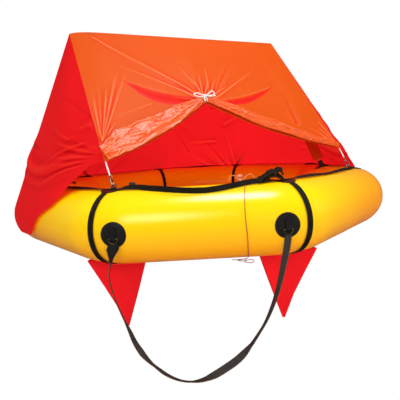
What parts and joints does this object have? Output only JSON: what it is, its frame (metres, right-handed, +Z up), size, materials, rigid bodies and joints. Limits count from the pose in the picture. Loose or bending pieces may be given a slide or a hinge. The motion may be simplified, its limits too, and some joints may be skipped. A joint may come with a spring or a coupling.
{
  "type": "inflatable liferaft with canopy",
  "caption": "Inflated octagonal liferaft: yellow buoyancy tube, orange canopy on an arch of poles, door flap tied up, ballast bags, boarding strap, lifeline and gas cylinder",
  "frame": {"origin": "the raft centre, at the height of the buoyancy tube underside", "axes": "+Z up, the door towards -Y, +X to the right as seen from in front of the door"},
  "size_m": [1.7847, 1.7804, 1.3787],
  "materials": {
    "tube_fabric": "yellow coated fabric, satin",
    "floor_fabric": "black coated fabric",
    "bag_fabric": "red coated fabric",
    "canopy_orange": "orange coated nylon, light shows through",
    "canopy_red": "red coated nylon, light shows through",
    "patch_rubber": "black rubberised fabric",
    "webbing_black": "black woven webbing",
    "webbing_grey": "dark grey woven webbing",
    "cord_white": "white braided cord",
    "cord_orange": "orange shock cord",
    "lanyard_red": "thin red cord",
    "ring_steel": "dull stainless wire",
    "ring_brass": "dull brass wire",
    "buckle_plastic": "black moulded plastic",
    "pole_aluminium": "anodised tube",
    "elbow_plastic": "dark moulded plastic",
    "valve_plastic": "white moulded plastic",
    "plunger_plastic": "pale moulded plastic",
    "cylinder_paint": "grey paint",
    "head_brass": "machined brass",
    "lever_paint": "red paint"
  },
  "bodies": {
    "raft": {"arch_elbow_left": "elbow_plastic", "arch_elbow_right": "elbow_plastic", "arch_leg_left": "pole_aluminium", "arch_leg_right": "pole_aluminium", "ballast_bag_bl": "bag_fabric", "ballast_bag_br": "bag_fabric", "ballast_bag_fl": "bag_fabric", "ballast_bag_fr": "bag_fabric", "boarding_patch_left": "patch_rubber", "boarding_patch_right": "patch_rubber", "boarding_ring_left": "ring_brass", "boarding_ring_right": "ring_brass", "boarding_strap": "webbing_grey", "buoyancy_tube": "tube_fabric", "canopy_back": "canopy_red", "canopy_front": "canopy_orange", "canopy_gable_left": "canopy_red", "canopy_gable_right": "canopy_red", "cylinder_slings": "webbing_black", "door_flap_roll": "canopy_orange", "door_tie": "cord_white", "floor_sheet": "floor_fabric", "foot_socket_left": "patch_rubber", "foot_socket_right": "patch_rubber", "gas_cylinder": "cylinder_paint", "gas_inlet": "head_brass", "girth_straps": "webbing_black", "inflation_valve_body": "valve_plastic", "keeper_patches": "patch_rubber", "leg_sleeve_left": "canopy_orange", "leg_sleeve_right": "canopy_orange", "lifeline": "webbing_black", "lifeline_buckle": "buckle_plastic", "operating_head": "head_brass", "ridge_pole": "pole_aluminium", "strap_end_gather": "patch_rubber", "tie_cord_br": "cord_orange", "tie_cord_fl": "cord_white", "tie_cord_l2": "cord_orange", "tie_cord_r1": "cord_white", "tie_hook_br": "ring_steel", "tie_hook_fl": "ring_steel", "tie_hook_l2": "ring_steel", "tie_hook_r1": "ring_steel", "tie_patches": "patch_rubber", "tie_ring_br": "ring_steel", "tie_ring_fl": "ring_steel", "tie_ring_l2": "ring_steel", "tie_ring_r1": "ring_steel", "topping_valve_body": "elbow_plastic", "valve_lanyard": "lanyard_red"},
    "gate_fl": {"hook_gate_fl": "ring_steel"},
    "gate_r1": {"hook_gate_r1": "ring_steel"},
    "gate_br": {"hook_gate_br": "ring_steel"},
    "gate_l2": {"hook_gate_l2": "ring_steel"},
    "topping_cap": {"topping_valve_cap": "elbow_plastic"},
    "inflation_plunger": {"inflation_valve_plunger": "plunger_plastic"},
    "lever": {"firing_lever": "lever_paint"}
  },
  "joints": [
    {"name": "hook_gate_fl_hinge", "type": "hinge", "parent": "raft", "child": "gate_fl", "pos_m": [-0.30796, -0.70157, 0.28822], "axis": [-0.8829, 0.1523, -0.4441], "range_deg": [0, 25], "stiffness_Nm_per_rad": 0.02, "springref_deg": -11.46},
    {"name": "hook_gate_r1_hinge", "type": "hinge", "parent": "raft", "child": "gate_r1", "pos_m": [0.71081, -0.28118, 0.28914], "axis": [-0.5066, -0.7954, 0.3328], "range_deg": [0, 25], "stiffness_Nm_per_rad": 0.02, "springref_deg": -11.46},
    {"name": "hook_gate_br_hinge", "type": "hinge", "parent": "raft", "child": "gate_br", "pos_m": [0.31604, 0.71282, 0.2918], "axis": [0.7322, -0.3576, -0.5797], "range_deg": [0, 25], "stiffness_Nm_per_rad": 0.02, "springref_deg": -11.46},
    {"name": "hook_gate_l2_hinge", "type": "hinge", "parent": "raft", "child": "gate_l2", "pos_m": [-0.73179, 0.28106, 0.29126], "axis": [0.1629, 0.784, 0.5991], "range_deg": [0, 25], "stiffness_Nm_per_rad": 0.02, "springref_deg": -11.46},
    {"name": "topping_cap_turn", "type": "hinge", "parent": "raft", "child": "topping_cap", "pos_m": [-0.24, -0.7013, 0.25053], "axis": [0, 0.3746, 0.9272], "range_deg": [0, 90]},
    {"name": "inflation_plunger_press", "type": "slide", "parent": "raft", "child": "inflation_plunger", "axis": [0, 0.2419, 0.9703], "range_m": [-0.003, 0], "stiffness_N_per_m": 800, "springref_m": 0.002},
    {"name": "firing_lever_pull", "type": "hinge", "parent": "raft", "child": "lever", "pos_m": [0.4833, -0.026, -0.0635], "axis": [0, 0, 1], "range_deg": [-70, 0]}
  ]
}
